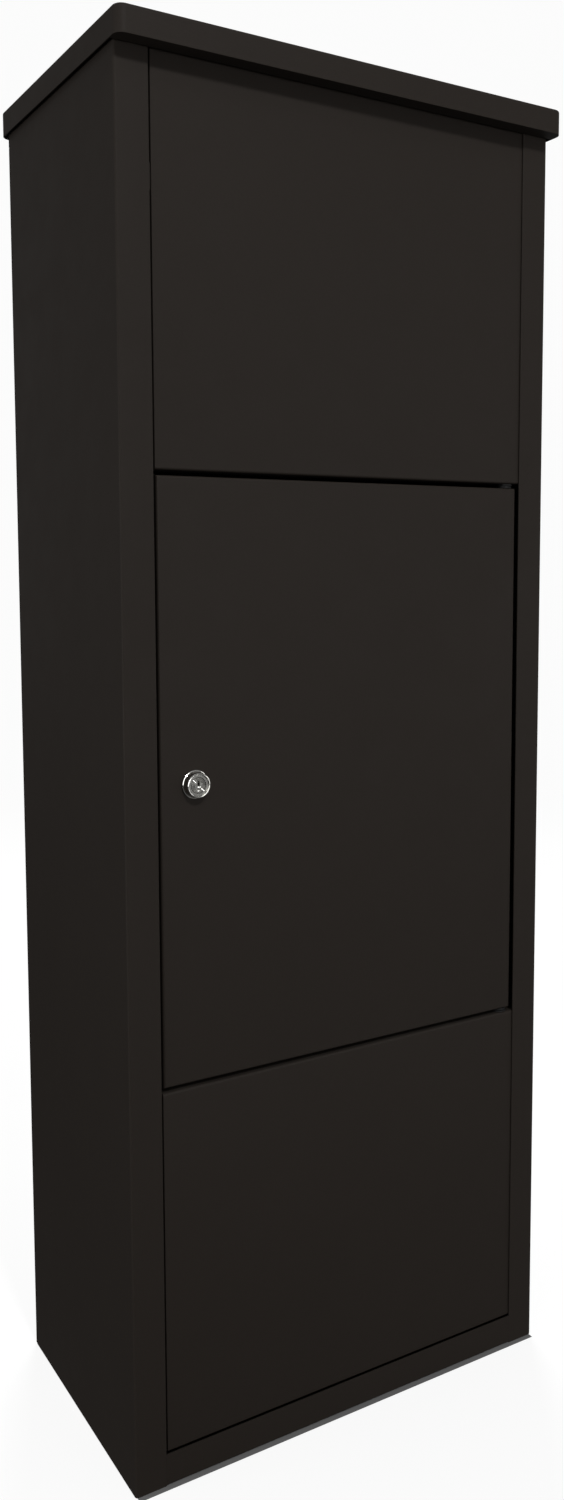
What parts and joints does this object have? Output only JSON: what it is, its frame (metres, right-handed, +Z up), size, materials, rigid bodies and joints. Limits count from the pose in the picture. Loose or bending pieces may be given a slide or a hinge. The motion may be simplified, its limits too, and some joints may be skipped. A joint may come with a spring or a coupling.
{
  "type": "parcel drop box",
  "caption": "Tall free-standing sheet-steel parcel drop box with a flat lifting lid, a key-locked front door, fixed front panels and a sprung anti-theft baffle flap.",
  "frame": {"origin": "on the floor, under the middle of the whole box (the lid's overhangs included)", "axes": "+X to the right seen from the front, +Y to the back (the door faces -Y), +Z up"},
  "size_m": [0.418, 0.259, 1.13],
  "materials": {
    "powder_coat": "satin-matt warm black powder coat",
    "zinc": "zinc plated, dull",
    "chrome": "polished, slightly warm",
    "spring_steel": "drawn wire",
    "rubber": "matt",
    "nylon": "black, moulded",
    "black_zinc": "zinc plated, black passivated"
  },
  "bodies": {
    "cabinet": {"side_panel_left": "powder_coat", "side_panel_right": "powder_coat", "rear_panel": "powder_coat", "rear_plug_bottom_left": "rubber", "rear_plug_bottom_right": "rubber", "rear_plug_top_left": "rubber", "rear_plug_top_right": "rubber", "base_pan": "powder_coat", "lower_front_panel": "powder_coat", "upper_front_panel": "powder_coat", "compartment_floor": "powder_coat", "rim_rail_left": "powder_coat", "rim_rail_right": "powder_coat", "rear_top_rail": "powder_coat", "lid_seal": "rubber", "latch_jamb": "powder_coat", "hinge_jamb": "powder_coat", "door_seal": "rubber", "door_pivot_pin_bottom": "black_zinc", "door_washer_bottom": "nylon", "door_pivot_pin_top": "black_zinc", "door_washer_top": "nylon", "lid_hinge_fixed_leaf_left": "zinc", "lid_hinge_pin_left": "zinc", "lid_hinge_fixed_leaf_right": "zinc", "lid_hinge_pin_right": "zinc", "baffle_rod": "zinc", "baffle_stop_rail": "powder_coat", "baffle_bracket_left": "zinc", "baffle_bracket_right": "zinc", "baffle_spring_left": "spring_steel", "baffle_spring_right": "spring_steel", "baffle_buffer_left": "rubber", "baffle_buffer_right": "rubber"},
    "door": {"door_panel": "powder_coat", "door_stiffener": "powder_coat", "door_bush_bottom": "nylon", "door_bush_top": "nylon", "lock_housing": "chrome", "lock_gasket": "rubber", "lock_nut": "zinc"},
    "lock_cylinder": {"lock_plug": "chrome", "lock_cam": "zinc", "cam_nut": "zinc"},
    "lid": {"lid_pan": "powder_coat", "lid_stiffener": "powder_coat", "lid_hinge_moving_leaf_left": "zinc", "lid_hinge_moving_leaf_right": "zinc"},
    "baffle": {"baffle_flap": "powder_coat"}
  },
  "joints": [
    {"name": "door_hinge", "type": "hinge", "parent": "cabinet", "child": "door", "pos_m": [0.1675, -0.105, 0.566], "axis": [0, 0, 1], "range_deg": [0, 105]},
    {"name": "lock_turn", "type": "hinge", "parent": "door", "child": "lock_cylinder", "pos_m": [-0.146, -0.1, 0.567], "axis": [0, 1, 0], "range_deg": [0, 90]},
    {"name": "lid_hinge", "type": "hinge", "parent": "cabinet", "child": "lid", "pos_m": [0, 0.1249, 1.1117], "axis": [-1, 0, 0], "range_deg": [0, 98]},
    {"name": "baffle_hinge", "type": "hinge", "parent": "cabinet", "child": "baffle", "pos_m": [0, 0.1075, 1], "axis": [1, 0, 0], "range_deg": [0, 70], "stiffness_Nm_per_rad": 0.8, "springref_deg": -91.67}
  ]
}
